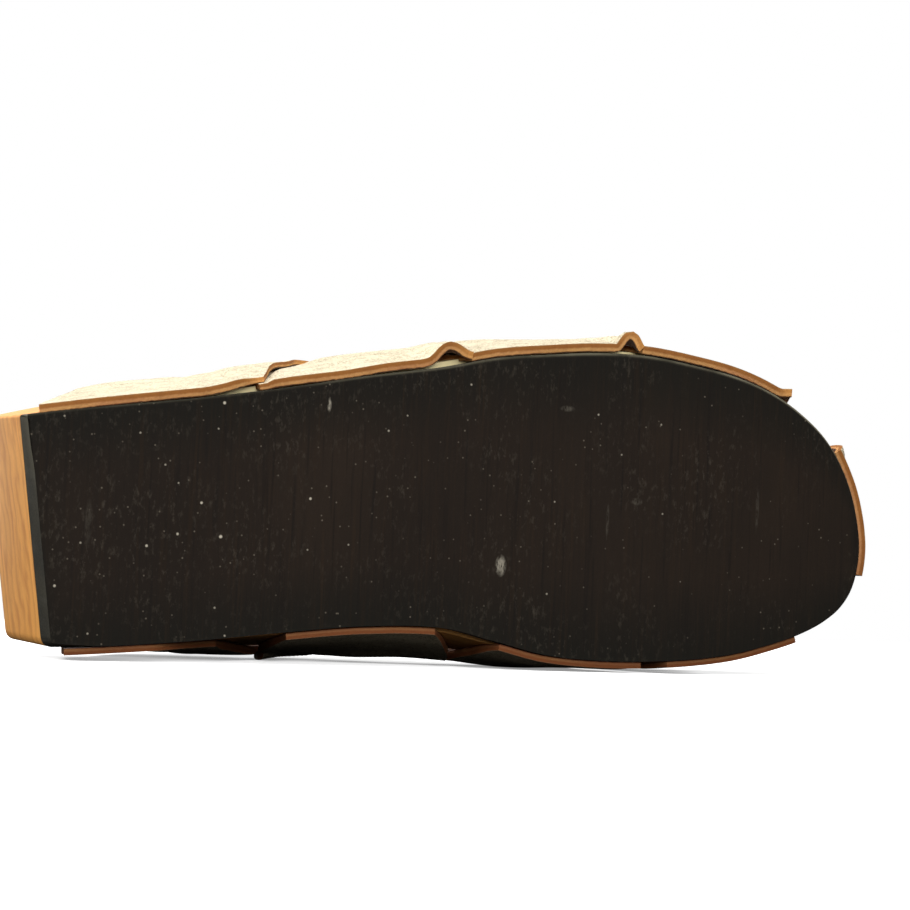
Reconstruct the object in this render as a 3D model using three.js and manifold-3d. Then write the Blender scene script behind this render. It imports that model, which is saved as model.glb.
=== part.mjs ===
// A wooden platform sandal for the right foot, lying on its inner side: rubber outsole, wooden platform, leather
// insole and an upper of broad leather straps that cross over the foot.
// Shoe frame, before the shoe is laid down: x from heel to toe, y towards the big toe's side, z up from the ground.
import * as THREE from "three";
import { mergeVertices } from "three/addons/utils/BufferGeometryUtils.js";
import Module from "manifold-3d";

// ---- Sizes, mm ----
const RUBBER = 6; // outsole's thickness
const BEVEL = 1.3; // round of the outsole's lower edge
const GAP = 0.3; // between pieces that are glued together
const STRAP_GAP = 0.5; // between the straps and the platform's side
const SPRING = 6; // rise of the toe tip off the ground
const SPRING_FROM = 178;
const LENGTH = 259.2;
const HEEL_HEIGHT = 46; // footbed over the ground at the heel
const FORE_HEIGHT = 24; // and under the ball
const SLOPE_FROM = 50;
const SLOPE_TO = 168;
const ARCH = 5; // extra height of the footbed under the inner arch
const RIM = 1.6; // round of the footbed's edge
const CORNER = 4; // corner radius of the heel's rear edge
const INSOLE = 1.6;
const INSOLE_INSET = 3.2;
const LEATHER = 2.5; // strap's thickness
const LAP = 1.9; // how far a strap rises over the one under it, so that the two are joined
const LAP_RAMP = 9; // length over which it climbs
const CUT_Z = 1; // the straps' cut edges over the ground
const WALL = 0.17; // share of a strap's run that lies on each side of the platform

// How the shoe lies: turned onto its inner side, then set so that heel, ball and upper meet the floor.
const LEAN = 0.88; // degrees about the long axis
const PITCH = -1.31; // degrees about the upright shoe's vertical

// Plan of the sole, a row per station from heel to toe: how far each side stands from the heel's centre line.
const OUTLINE = [
  { x: 8, lateral: -33.1, medial: 33.3 },
  { x: 24, lateral: -34.95, medial: 32.8 },
  { x: 48, lateral: -37.8, medial: 31.0 },
  { x: 72, lateral: -41.3, medial: 28.5 },
  { x: 96, lateral: -45.3, medial: 26.7 },
  { x: 120, lateral: -48.6, medial: 27.1 },
  { x: 136, lateral: -51.6, medial: 30.8 },
  { x: 152, lateral: -53.0, medial: 34.8 },
  { x: 168, lateral: -53.8, medial: 36.5 },
  { x: 184, lateral: -53.3, medial: 36.9 },
  { x: 200, lateral: -50.8, medial: 36.3 },
  { x: 214.6, lateral: -47.4, medial: 34.7 },
  { x: 227.2, lateral: -42.9, medial: 31.9 },
  { x: 237.7, lateral: -37.1, medial: 28.9 },
  { x: 246.3, lateral: -30.0, medial: 25.1 },
  { x: 252.7, lateral: -20.9, medial: 20.5 },
  { x: 257, lateral: -10.6, medial: 14.2 },
];
const TOE_TIP = { x: LENGTH, y: 3 };
const REAR = { lateral: { x: -2.8, y: -31.7 }, medial: { x: 2.7, y: 32.7 } };

// Form of the foot over the footbed, a row per station: how far the platform's sides lean out by the footbed, where
// the crown of the foot lies, how high it is over the footbed, how full each side is over the edge, and how square
// the arch of the section is (2 is an ellipse).
const FOOT = [
  { x: -4, flareLateral: 2.4, flareMedial: 0.6, crownY: 0, crownZ: 92, fullLateral: 0.6, fullMedial: 0, square: 2 },
  { x: 20, flareLateral: 3.4, flareMedial: 1.0, crownY: 0, crownZ: 91, fullLateral: 1, fullMedial: 0, square: 2 },
  { x: 40, flareLateral: 3.8, flareMedial: 2.0, crownY: 0, crownZ: 88, fullLateral: 1.6, fullMedial: 0, square: 2 },
  { x: 80, flareLateral: 3.6, flareMedial: 6.4, crownY: 0, crownZ: 73, fullLateral: 2, fullMedial: 0.4, square: 2 },
  { x: 110, flareLateral: 3.5, flareMedial: 6.8, crownY: 1, crownZ: 60, fullLateral: 2.5, fullMedial: 0.4, square: 1.95 },
  { x: 140, flareLateral: 3, flareMedial: 3.4, crownY: 3, crownZ: 49, fullLateral: 2, fullMedial: 1, square: 2 },
  { x: 170, flareLateral: 2.2, flareMedial: 0.4, crownY: 6, crownZ: 40, fullLateral: 1.6, fullMedial: 2, square: 2.15 },
  { x: 200, flareLateral: 2.2, flareMedial: 0, crownY: 8, crownZ: 32, fullLateral: 1.2, fullMedial: 2, square: 2.25 },
  { x: 230, flareLateral: 2, flareMedial: 0.2, crownY: 8, crownZ: 26, fullLateral: 1, fullMedial: 1, square: 2.3 },
  { x: 262, flareLateral: 1.2, flareMedial: 0.8, crownY: 6, crownZ: 20, fullLateral: 0.5, fullMedial: 0.2, square: 2.3 },
];

// Depth of the footbed's hollow along its middle, a row per station.
const HOLLOW = [
  { x: 0, depth: 2.6 },
  { x: 36, depth: 4 },
  { x: 95, depth: 1.6 },
  { x: 170, depth: 2.4 },
  { x: 225, depth: 1.4 },
  { x: 262, depth: 0.8 },
];

// The straps, bottom one first. v runs from the outer edge of the sole (0) over the foot to the inner edge (1); rear
// and front are the strap's two long edges, as stations along the shoe.
const STRAPS = {
  // outer toes to inner ball
  outerFront: [
    { v: 0, rear: 182.6, front: 232.6 },
    { v: 0.09, rear: 181, front: 231 },
    { v: 0.2, rear: 178, front: 228 },
    { v: 0.34, rear: 170, front: 218 },
    { v: 0.5, rear: 158, front: 202 },
    { v: 0.66, rear: 144, front: 181 },
    { v: 0.8, rear: 138.5, front: 175.5 },
    { v: 0.91, rear: 138, front: 179.5 },
    { v: 1, rear: 138.6, front: 183.7 },
  ],
  // outer ball to inner toes
  innerFront: [
    { v: 0, rear: 128.6, front: 181.4 },
    { v: 0.09, rear: 123, front: 183 },
    { v: 0.2, rear: 130, front: 187 },
    { v: 0.34, rear: 145, front: 197 },
    { v: 0.5, rear: 160, front: 209 },
    { v: 0.66, rear: 175, front: 224 },
    { v: 0.8, rear: 184.5, front: 232 },
    { v: 0.91, rear: 188.5, front: 236 },
    { v: 1, rear: 192.4, front: 236.5 },
  ],
  // outer waist to inner heel
  outerRear: [
    { v: 0, rear: 63.9, front: 128.2 },
    { v: 0.09, rear: 66, front: 128.5 },
    { v: 0.2, rear: 73, front: 130 },
    { v: 0.34, rear: 84, front: 134 },
    { v: 0.5, rear: 88, front: 137 },
    { v: 0.66, rear: 67, front: 118 },
    { v: 0.8, rear: 34, front: 86 },
    { v: 0.91, rear: 14, front: 64 },
    { v: 1, rear: 8.7, front: 58 },
  ],
  // outer heel to inner waist
  innerRear: [
    { v: 0, rear: 0.4, front: 66.4 },
    { v: 0.09, rear: 9, front: 75 },
    { v: 0.2, rear: 28, front: 92 },
    { v: 0.34, rear: 64, front: 121 },
    { v: 0.5, rear: 96, front: 146 },
    { v: 0.66, rear: 96, front: 143 },
    { v: 0.8, rear: 82, front: 130 },
    { v: 0.91, rear: 75, front: 121 },
    { v: 1, rear: 73, front: 118.3 },
  ],
};
// Which straps each one passes over.
const OVER = {
  outerFront: [],
  innerFront: ["outerFront"],
  outerRear: ["innerFront"],
  innerRear: ["outerRear"],
};
// Corners that stand away from the platform at the sole, a row each: where along the edge, how far, how long.
const LIFTED = {
  outerFront: { x: 229.8, out: 1.8, half: 2.2 },
  innerFront: { x: 178.6, out: 4.2, half: 2.3 },
  outerRear: { x: 121.8, out: 4.4, half: 4.4 },
  innerRear: { x: 71, out: 0.6, half: 5 },
};
// Where a strap's faces are divided across its width: closer at the front edge, which has the lifted corner.
const ACROSS = [0, 0.17, 0.35, 0.52, 0.67, 0.78, 0.85, 0.9, 0.95, 1];
const ALONG = 36;
// The toe strap: it starts at the sole over this arc of the toe and ends under the front pair of straps.
const TOE = { fromX: 247.6, toX: 258.2, endX: 196, endLateral: 0.43, endMedial: 0.64, thickness: 2.6 };

const WOOD = 0xd49858,
  BLACK = 0x2b2620,
  CREAM = 0xe4d8bd,
  TAN = 0xb07a42;

// ---- Curves through the tables ----
// Smooth value of a table's column at a station, without overshoot between rows (Fritsch and Carlson's cubic).
function column(rows, key, by, at) {
  const n = rows.length;
  if (at <= rows[0][by]) return rows[0][key];
  if (at >= rows[n - 1][by]) return rows[n - 1][key];
  let i = 0;
  while (at > rows[i + 1][by]) i++;
  const slope = (j) => (rows[j + 1][key] - rows[j][key]) / (rows[j + 1][by] - rows[j][by]);
  const tangent = (j) => {
    if (j === 0) return slope(0);
    if (j === n - 1) return slope(n - 2);
    const a = slope(j - 1),
      b = slope(j);
    return a * b <= 0 ? 0 : (2 * a * b) / (a + b);
  };
  const h = rows[i + 1][by] - rows[i][by],
    t = (at - rows[i][by]) / h,
    t2 = t * t,
    t3 = t2 * t;
  return (
    (2 * t3 - 3 * t2 + 1) * rows[i][key] +
    (t3 - 2 * t2 + t) * h * tangent(i) +
    (3 * t2 - 2 * t3) * rows[i + 1][key] +
    (t3 - t2) * h * tangent(i + 1)
  );
}
const foot = (key, x) => column(FOOT, key, "x", x);
const smooth = (a, b, t) => THREE.MathUtils.smoothstep(t, a, b);
const mix = THREE.MathUtils.lerp;

// The outline from the heel's outer corner round the toe to its inner corner.
const rim = new THREE.CatmullRomCurve3(
  [
    [REAR.lateral.x, REAR.lateral.y],
    ...OUTLINE.map((r) => [r.x, r.lateral]),
    [TOE_TIP.x, TOE_TIP.y],
    ...OUTLINE.toReversed().map((r) => [r.x, r.medial]),
    [REAR.medial.x, REAR.medial.y],
  ].map(([x, y]) => new THREE.Vector3(x, y, 0)),
  false,
  "centripetal",
);
const STATIONS = OUTLINE.length + 1; // spans from a heel corner to the toe tip
// A point of one side, q counted in rows of the table from the heel corner.
const sideAt = (side, q) => rim.getPoint(side < 0 ? q / (2 * STATIONS) : 1 - q / (2 * STATIONS));

// Where a side of the outline crosses station x, as rows counted from the heel.
function rowsTo(side, x) {
  let a = 0,
    b = STATIONS;
  for (let i = 0; i < 40; i++) {
    const m = (a + b) / 2;
    if (sideAt(side, m).x < x) a = m;
    else b = m;
  }
  return (a + b) / 2;
}
const edgeY = (side, x) => {
  const first = sideAt(side, 0);
  if (x <= first.x) {
    const next = sideAt(side, 0.5);
    return first.y + ((x - first.x) * (next.y - first.y)) / (next.x - first.x);
  }
  return sideAt(side, rowsTo(side, x)).y;
};

// ---- Heights ----
const ground = (x) => (x > SPRING_FROM ? SPRING * ((x - SPRING_FROM) / (LENGTH - SPRING_FROM)) ** 2 : 0);
const slope = (x) => mix(HEEL_HEIGHT, FORE_HEIGHT, smooth(SLOPE_FROM, SLOPE_TO, x)) + ground(x);
// The footbed's edge; side runs from -1 at the outer edge to 1 at the inner one.
const bedEdge = (x, side) => slope(x) + ARCH * Math.max(0, side) ** 2 * Math.exp(-(((x - 98) / 30) ** 2));
const flare = (x, side) => foot(side < 0 ? "flareLateral" : "flareMedial", x);

// ---- Rings of the sole: the same points round the outline serve every level ----
function halfOutline(side) {
  const corner = side < 0 ? REAR.lateral : REAR.medial,
    middle = new THREE.Vector3((REAR.lateral.x + REAR.medial.x) / 2, (REAR.lateral.y + REAR.medial.y) / 2, 0),
    c = new THREE.Vector3(corner.x, corner.y, 0),
    along = c.clone().sub(middle),
    before = middle.clone().addScaledVector(along, 1 - CORNER / along.length()),
    afterQ = rowsTo(side, corner.x + CORNER),
    after = sideAt(side, afterQ),
    points = [middle, middle.clone().lerp(before, 0.5)];
  for (const t of [0, 0.25, 0.5, 0.75, 1])
    points.push(
      before
        .clone()
        .multiplyScalar((1 - t) ** 2)
        .addScaledVector(c, 2 * t * (1 - t))
        .addScaledVector(after, t * t),
    );
  for (let q = 1; q < STATIONS; q += 0.5) points.push(sideAt(side, q));
  return points; // the toe tip is added once, between the halves
}
const lateralHalf = halfOutline(-1),
  medialHalf = halfOutline(1),
  tip = new THREE.Vector3(TOE_TIP.x, TOE_TIP.y, 0),
  loop = [...lateralHalf, tip, ...medialHalf.slice(1).reverse()],
  COUNT = loop.length;
const outward = loop.map((p, i) => {
  const d = loop[(i + 1) % COUNT].clone().sub(loop[(i + COUNT - 1) % COUNT]);
  return new THREE.Vector3(d.y, -d.x, 0).normalize();
});
// The loop runs heel, outer side, toe, inner side; its outward normal points away from the middle.
if (outward[Math.round(COUNT / 4)].y > 0) outward.forEach((n) => n.negate());
const mate = (i) => (COUNT - i) % COUNT; // the same station on the other side
const spine = loop.map((p, i) => {
  const q = loop[mate(i)],
    x = (p.x + q.x) / 2;
  return new THREE.Vector3(THREE.MathUtils.clamp(x, 34, 222), mix(-1.5, -6, smooth(34, 150, x)), 0);
});
const sideOf = loop.map((p, i) => {
  const q = loop[mate(i)],
    middle = (p.y + q.y) / 2,
    half = Math.abs(p.y - q.y) / 2;
  return half < 1e-6 ? 0 : THREE.MathUtils.clamp((p.y - middle) / Math.max(half, 20), -1, 1);
});

// A closed body from a list of levels, lowest first. Each level gives a ring of points in the loop's order; the first
// and the last ring are closed inwards to the spine by levels of their own.
class Body {
  constructor() {
    this.vertices = [];
    this.triangles = [];
  }
  ring(points) {
    const start = this.vertices.length;
    this.vertices.push(...points);
    return points.map((_, i) => start + i);
  }
  // the innermost ring, whose two sides meet on the spine
  seam(points) {
    const start = this.vertices.length,
      ids = [];
    points.forEach((p, i) => {
      if (i > mate(i)) ids.push(ids[mate(i)]);
      else {
        this.vertices.push(p);
        ids.push(this.vertices.length - 1);
      }
    });
    return ids;
  }
  // joins two rings, split along the same diagonals whichever way the faces look
  join(a, b, under = false) {
    for (let i = 0; i < COUNT; i++) {
      const j = (i + 1) % COUNT;
      if (under) {
        this.face(a[i], b[j], a[j]);
        this.face(a[i], b[i], b[j]);
      } else {
        this.face(a[i], a[j], b[j]);
        this.face(a[i], b[j], b[i]);
      }
    }
  }
  face(a, b, c) {
    this.triangles.push([a, b, c]);
  }
  mesh(name, color, roughness) {
    const at = (i) => this.vertices[i];
    const kept = this.triangles.filter(
      ([a, b, c]) =>
        at(a).distanceTo(at(b)) > 1e-4 && at(b).distanceTo(at(c)) > 1e-4 && at(a).distanceTo(at(c)) > 1e-4,
    );
    const flat = new Float32Array(kept.length * 9);
    kept.forEach((t, k) => t.forEach((i, m) => at(i).toArray(flat, k * 9 + m * 3)));
    const geometry = new THREE.BufferGeometry();
    geometry.setAttribute("position", new THREE.BufferAttribute(flat, 3));
    return named(name, geometry, color, roughness);
  }
}
function named(name, geometry, color, roughness) {
  const g = mergeVertices(geometry, 1e-4);
  const p = g.getAttribute("position"),
    ix = g.index.array;
  let volume = 0;
  const a = new THREE.Vector3(),
    b = new THREE.Vector3(),
    c = new THREE.Vector3();
  for (let i = 0; i < ix.length; i += 3) {
    a.fromBufferAttribute(p, ix[i]);
    b.fromBufferAttribute(p, ix[i + 1]);
    c.fromBufferAttribute(p, ix[i + 2]);
    volume += a.dot(b.cross(c));
  }
  if (volume < 0) for (let i = 0; i < ix.length; i += 3) [ix[i + 1], ix[i + 2]] = [ix[i + 2], ix[i + 1]];
  g.computeVertexNormals();
  const mesh = new THREE.Mesh(g, new THREE.MeshStandardMaterial({ color, roughness, metalness: 0, flatShading: true }));
  mesh.name = name;
  return mesh;
}

// How far the platform's side leans out by the footbed: sideways along the shoe, all round at the toe. The heel's back
// is upright.
const leaning = loop.map((p, i) => {
  const side = sideOf[i];
  if (p.x < 150) return new THREE.Vector3(0, side * flare(p.x, side), 0);
  return outward[i].clone().multiplyScalar(mix(flare(p.x, -1), flare(p.x, 1), (side + 1) / 2));
});
// Ring of the outline moved out by a distance and leant out by a share, at a height given by station.
const level = (out, height, lean = () => 0) =>
  loop.map((p, i) => {
    const v = p.clone().addScaledVector(outward[i], out).addScaledVector(leaning[i], lean(p.x, i));
    v.z = height(v.x, i);
    return v;
  });
const whole = () => 1;
// The same ring drawn in towards the spine by a share.
const inwards = (ring, share, height) =>
  ring.map((p, i) => {
    const v = p.clone().lerp(spine[i], share);
    v.z = height(v.x, i, share);
    return v;
  });

const SHARES = [0.2, 0.45, 0.75];
function closeOver(body, edgeIds, ring, height, shares = SHARES) {
  let last = edgeIds;
  for (const s of shares) {
    const next = body.ring(inwards(ring, s, height));
    body.join(last, next);
    last = next;
  }
  body.join(last, body.seam(inwards(ring, 1, height)));
}
function closeUnder(body, edgeIds, ring, height, shares = SHARES) {
  let last = edgeIds;
  for (const s of shares) {
    const next = body.ring(inwards(ring, s, height));
    body.join(last, next, true);
    last = next;
  }
  body.join(last, body.seam(inwards(ring, 1, height)), true);
}

function outsole() {
  const body = new Body(),
    low = (x) => ground(x),
    high = (x) => ground(x) + RUBBER,
    r0 = level(-BEVEL, low),
    r1 = level(-BEVEL * 0.3, (x) => low(x) + BEVEL * 0.3),
    r2 = level(0, (x) => low(x) + BEVEL),
    r3 = level(0, high),
    ids = [r0, r1, r2, r3].map((r) => body.ring(r));
  closeUnder(body, ids[0], r0, low, [0.35]);
  for (let i = 0; i < 3; i++) body.join(ids[i], ids[i + 1]);
  closeOver(body, ids[3], r3, high, [0.35]);
  return body.mesh("outsole", BLACK, 0.75);
}

// The footbed's height at a share of the way in from its edge.
const bed = (inset) => (x, i, share) =>
  bedEdge(x, sideOf[i] * (1 - share)) -
  column(HOLLOW, "depth", "x", x) * smooth(-0.15, 0.9, inset + share) * (inset + share > 0.001 ? 1 : 0);

function platform() {
  const body = new Body(),
    low = (x) => ground(x) + RUBBER + GAP,
    under = (x, i) => bedEdge(x, sideOf[i]) - RIM,
    half = (x, i) => mix(low(x), under(x, i), 0.5),
    // the side is a straight slant from the ground line to the footbed
    share = (z) => (x, i) => (z(x, i) - ground(x)) / (bedEdge(x, sideOf[i]) - ground(x)),
    r0 = level(0, low, share(low)),
    r1 = level(0, half, share(half)),
    r2 = level(0, under, share(under)),
    r3 = level(-RIM * 0.3, (x, i) => bedEdge(x, sideOf[i]) - RIM * 0.3, whole),
    r4 = level(-RIM, (x, i) => bedEdge(x, sideOf[i]), whole),
    ids = [r0, r1, r2, r3, r4].map((r) => body.ring(r));
  closeUnder(body, ids[0], r0, low, [0.35]);
  for (let i = 0; i < 4; i++) body.join(ids[i], ids[i + 1]);
  // over the footbed the rings are the insole's own, so that its facets lie parallel to the wood's
  const edge = level(-INSOLE_INSET, (x, i) => bed(0)(x, i, 0), whole),
    edgeIds = body.ring(edge);
  body.join(ids[4], edgeIds);
  closeOver(body, edgeIds, edge, bed(0.05));
  return body.mesh("platform", WOOD, 0.6);
}
function insole() {
  const body = new Body(),
    edge = level(-INSOLE_INSET, (x, i) => bed(0)(x, i, 0), whole),
    raise = (ring, d) => ring.map((p) => new THREE.Vector3(p.x, p.y, p.z + d)),
    low = raise(edge, GAP),
    high = raise(edge, GAP + INSOLE),
    lowIds = body.ring(low),
    highIds = body.ring(high);
  closeUnder(body, lowIds, edge, (x, i, s) => bed(0.05)(x, i, s) + GAP);
  body.join(lowIds, highIds);
  closeOver(body, highIds, edge, (x, i, s) => bed(0.05)(x, i, s) + GAP + INSOLE);
  return body.mesh("insole", TAN, 0.7);
}

// ---- The straps ----
// The form that the straps lie on: up the platform's outer side, over the foot, and down its inner side.
function form(x, v) {
  const side = v < 0.5 ? -1 : 1,
    u = v < 0.5 ? v : 1 - v,
    low = ground(x),
    high = bedEdge(x, side),
    foldOut = flare(x, side);
  if (u <= WALL) {
    const z = mix(low + CUT_Z, high, u / WALL);
    return new THREE.Vector3(x, edgeY(side, x) + side * (foldOut * ((z - low) / (high - low)) + STRAP_GAP), z);
  }
  const angle = ((u - WALL) / (0.5 - WALL)) * (Math.PI / 2),
    power = 2 / foot("square", x),
    crownY = foot("crownY", x),
    crownZ = (bedEdge(x, -1) + bedEdge(x, 1)) / 2 + foot("crownZ", x),
    wallY = edgeY(side, x) + side * (foldOut + STRAP_GAP),
    full = foot(side < 0 ? "fullLateral" : "fullMedial", x);
  return new THREE.Vector3(
    x,
    crownY +
      (wallY - crownY) * Math.cos(angle) ** power +
      side * full * 2.6 * Math.sin(angle) * Math.cos(angle) ** 2,
    high + (crownZ - high) * Math.sin(angle) ** power,
  );
}
function normalOn(surface, a, b, da = 0.4, db = 0.004) {
  const p = surface(a + da, b).sub(surface(a - da, b)),
    q = surface(a, Math.min(1, b + db)).sub(surface(a, Math.max(0, b - db)));
  return p.cross(q).normalize();
}
const edgeAt = (strap, v, which) => column(STRAPS[strap], which, "v", v);
// 1 where a strap lies under this point, falling to 0 a ramp's length beyond its edges
const ramp = (v) => LAP_RAMP * (1 - 0.6 * smooth(0.6, 0.74, v));
const cover = (strap, x, v) =>
  1 - smooth(0, ramp(v), Math.max(edgeAt(strap, v, "rear") - x, x - edgeAt(strap, v, "front")));

function liftOf(name, x, v) {
  let lift = 0;
  for (const under of OVER[name]) {
    // side by side at the outer edge, except that the rearmost strap lies on the next one from the edge on; the rear
    // pair touches the front pair only low on the outer side
    let near = name === "innerRear" ? 1 : smooth(0, 0.05, v);
    if (under === "innerFront") near *= 1 - smooth(0.3, 0.4, v);
    // on the outer side the under strap gives way, and the upper one hardly stands out
    if (v < 0.5) near *= mix(1, 0.35, smooth(0.05, 0.16, v)) + 0.65 * smooth(0.26, 0.4, v);
    lift += LAP * cover(under, x, v) * near;
  }
  if (name.endsWith("Front")) lift += LAP * toeCover(x, v);
  const c = LIFTED[name];
  return lift + c.out * Math.exp(-(((x - c.x) / c.half) ** 2)) * (1 - smooth(0, 0.13, v));
}
function toeCover(x, v) {
  const outside = Math.max(TOE.endX - x, (TOE.endLateral - v) * 230, (v - TOE.endMedial) * 230);
  return 1 - smooth(0, LAP_RAMP, outside);
}

// A sheet between two grids of points: inner face, outer face and the cut edges all round.
function sheet(name, shares, along, inner, outer) {
  const body = new Body(),
    across = shares.length - 1,
    id = (grid, i, j) => grid * (across + 1) * (along + 1) + i * (across + 1) + j;
  for (const face of [inner, outer])
    for (let i = 0; i <= along; i++) for (let j = 0; j <= across; j++) body.vertices.push(face(i / along, shares[j]));
  const quad = (a, b, c, d) => {
    body.face(a, b, c);
    body.face(a, c, d);
  };
  for (let i = 0; i < along; i++)
    for (let j = 0; j < across; j++) {
      quad(id(0, i, j), id(0, i + 1, j), id(0, i + 1, j + 1), id(0, i, j + 1));
      quad(id(1, i, j), id(1, i, j + 1), id(1, i + 1, j + 1), id(1, i + 1, j));
    }
  for (let i = 0; i < along; i++) {
    quad(id(0, i, 0), id(1, i, 0), id(1, i + 1, 0), id(0, i + 1, 0));
    quad(id(0, i, across), id(0, i + 1, across), id(1, i + 1, across), id(1, i, across));
  }
  for (let j = 0; j < across; j++) {
    quad(id(0, 0, j), id(0, 0, j + 1), id(1, 0, j + 1), id(1, 0, j));
    quad(id(0, along, j), id(1, along, j), id(1, along, j + 1), id(0, along, j + 1));
  }
  return body.mesh(name, CREAM, 0.5).geometry;
}
function strap(name) {
  const on = (raise) => (t, w) => {
    const x = mix(edgeAt(name, t, "rear"), edgeAt(name, t, "front"), w);
    return form(x, t).addScaledVector(normalOn(form, x, t), liftOf(name, x, t) + raise);
  };
  return sheet(name, ACROSS, ALONG, on(0), on(LEATHER));
}
function toeStrap() {
  const q0 = rowsTo(-1, TOE.fromX),
    q1 = rowsTo(1, TOE.toX);
  // t runs from the sole up and back over the toes, w across from the outer to the inner edge of the strap
  const surface = (t, w) => {
    // rows counted right round the toe tip
    const q = mix(q0, 2 * STATIONS - q1, w),
      p = rim.getPoint(q / (2 * STATIONS)),
      next = rim.getPoint((q + 0.05) / (2 * STATIONS)),
      d = next.sub(p),
      out = new THREE.Vector3(-d.y, d.x, 0).normalize();
    if (out.x < 0) out.negate();
    const low = ground(p.x),
      high = bedEdge(p.x, 0),
      leanOut = Math.max(0.9, 0.22 + mix(flare(p.x, -1), flare(p.x, 1), w)),
      wall = 0.2;
    if (t < wall) {
      const z = mix(low + CUT_Z, high, t / wall);
      return p.clone().addScaledVector(out, STRAP_GAP + (leanOut * (z - low)) / (high - low)).setZ(z);
    }
    const s = (t - wall) / (1 - wall),
      a = p.clone().addScaledVector(out, STRAP_GAP + leanOut).setZ(high),
      v = mix(TOE.endLateral, TOE.endMedial, w),
      b = form(TOE.endX, v),
      back = form(TOE.endX - 1, v).sub(form(TOE.endX + 1, v)).normalize().multiplyScalar(62),
      up = new THREE.Vector3(out.x * 8, out.y * 8, 42);
    const h00 = 2 * s ** 3 - 3 * s ** 2 + 1,
      h10 = s ** 3 - 2 * s ** 2 + s,
      h01 = 3 * s ** 2 - 2 * s ** 3,
      h11 = s ** 3 - s ** 2;
    return a.multiplyScalar(h00).addScaledVector(up, h10).addScaledVector(b, h01).addScaledVector(back, h11);
  };
  const on = (raise) => (t, w) => {
    const n = surface(t, Math.min(1, w + 0.02))
      .sub(surface(t, Math.max(0, w - 0.02)))
      .cross(surface(Math.min(1, t + 0.01), w).sub(surface(Math.max(0, t - 0.01), w)))
      .normalize();
    return surface(t, w).addScaledVector(n, raise);
  };
  return sheet("toe", [0, 1, 2, 3, 4, 5, 6].map((j) => j / 6), 20, on(0), on(TOE.thickness));
}

const wasm = await Module();
wasm.setup();
function solid(geometry) {
  const g = geometry.clone();
  g.deleteAttribute("normal");
  const m = mergeVertices(g, 1e-4);
  return new wasm.Manifold(
    new wasm.Mesh({
      numProp: 3,
      vertProperties: m.attributes.position.array,
      triVerts: new Uint32Array(m.index.array),
    }),
  );
}
function upper() {
  let joined = solid(toeStrap());
  for (const name of Object.keys(STRAPS)) joined = joined.add(solid(strap(name)));
  // glue fills any small pocket that is closed in between two straps
  const out = joined.decompose().find((shell) => shell.volume() > 0).getMesh(),
    g = new THREE.BufferGeometry();
  g.setAttribute("position", new THREE.BufferAttribute(new Float32Array(out.vertProperties), 3));
  g.setIndex(new THREE.BufferAttribute(new Uint32Array(out.triVerts), 1));
  return named("upper", g, CREAM, 0.5);
}

// ---- The shoe, laid on its inner side: x stays, the big toe's side goes down, the upper points away ----
const shoe = new THREE.Group();
shoe.add(outsole(), platform(), insole(), upper());
const turned = new THREE.Group();
turned.rotation.set(THREE.MathUtils.degToRad(-90 + LEAN), 0, 0);
turned.add(shoe);
const pitched = new THREE.Group();
pitched.rotation.set(0, THREE.MathUtils.degToRad(PITCH), 0);
pitched.add(turned);
const part = new THREE.Group();
part.add(pitched);
// origin: the middle of the laid shoe's box, on the floor
part.updateMatrixWorld(true);
const box = new THREE.Box3().setFromObject(part, true),
  centre = box.getCenter(new THREE.Vector3());
pitched.position.set(-centre.x, -centre.y, -box.min.z);

export default part;
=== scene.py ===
"""Looks of a wooden platform sandal for the right foot, lying on its inner side: black rubber outsole, pale wooden
platform, tan leather insole, and broad crossed straps of cream leather with raw cut edges."""

import math

import bpy
import numpy as np
from mathutils import Matrix, Vector


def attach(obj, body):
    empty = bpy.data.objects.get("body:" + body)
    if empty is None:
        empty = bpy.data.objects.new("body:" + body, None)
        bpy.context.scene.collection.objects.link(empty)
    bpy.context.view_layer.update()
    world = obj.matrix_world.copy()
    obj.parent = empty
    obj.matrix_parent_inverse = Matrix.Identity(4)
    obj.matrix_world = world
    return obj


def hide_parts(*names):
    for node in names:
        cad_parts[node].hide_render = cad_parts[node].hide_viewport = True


bl_info = {
    "name": "Wooden platform sandal",
    "version": (1, 0, 0),
    "blender": (4, 5, 0),
    "location": "View3D > Sidebar > Sandal",
    "description": "Models and finishes the outsole, platform, insole and straps of a wooden sandal",
    "category": "Add Mesh",
}

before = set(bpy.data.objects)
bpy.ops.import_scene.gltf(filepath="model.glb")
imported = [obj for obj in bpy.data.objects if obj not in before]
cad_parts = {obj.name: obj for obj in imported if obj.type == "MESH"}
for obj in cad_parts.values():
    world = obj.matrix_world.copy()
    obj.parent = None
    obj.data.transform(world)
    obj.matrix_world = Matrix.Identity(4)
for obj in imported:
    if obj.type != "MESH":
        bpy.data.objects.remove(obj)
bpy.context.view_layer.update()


# ---- The shoe's own measures, mm: x from heel to toe, y towards the big toe's side, z up from the ground ----
MM = 0.001  # in metres
RUBBER = 6.0
WORN_EDGE = 1.2  # how far the rubber's ground face is drawn in round the heel
GAP = 0.3
GAP_INNER = 0.2  # from the wood to the straps' inner face, on the inner side
LEATHER = 2.5
SPRING, SPRING_FROM, LENGTH = 6.0, 178.0, 259.2
HEEL_HEIGHT, FORE_HEIGHT, SLOPE_FROM, SLOPE_TO = 46.0, 24.0, 50.0, 168.0
ARCH = 5.0
CORNERS = {-1: 0.9, 1: 3.0}  # rounds of the heel's corners, on the outer and on the inner side
CORNER_TURN = 0.05  # the share of a side's length, in divisions, that goes to its corner
CUT_Z = 1.0  # the straps' lower edge, over the ground
WALL = 0.17  # the share round the foot at which a strap leaves the wood
FULL_PEAK = 2.6  # makes the greatest value of sin * cos**2 one
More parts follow.
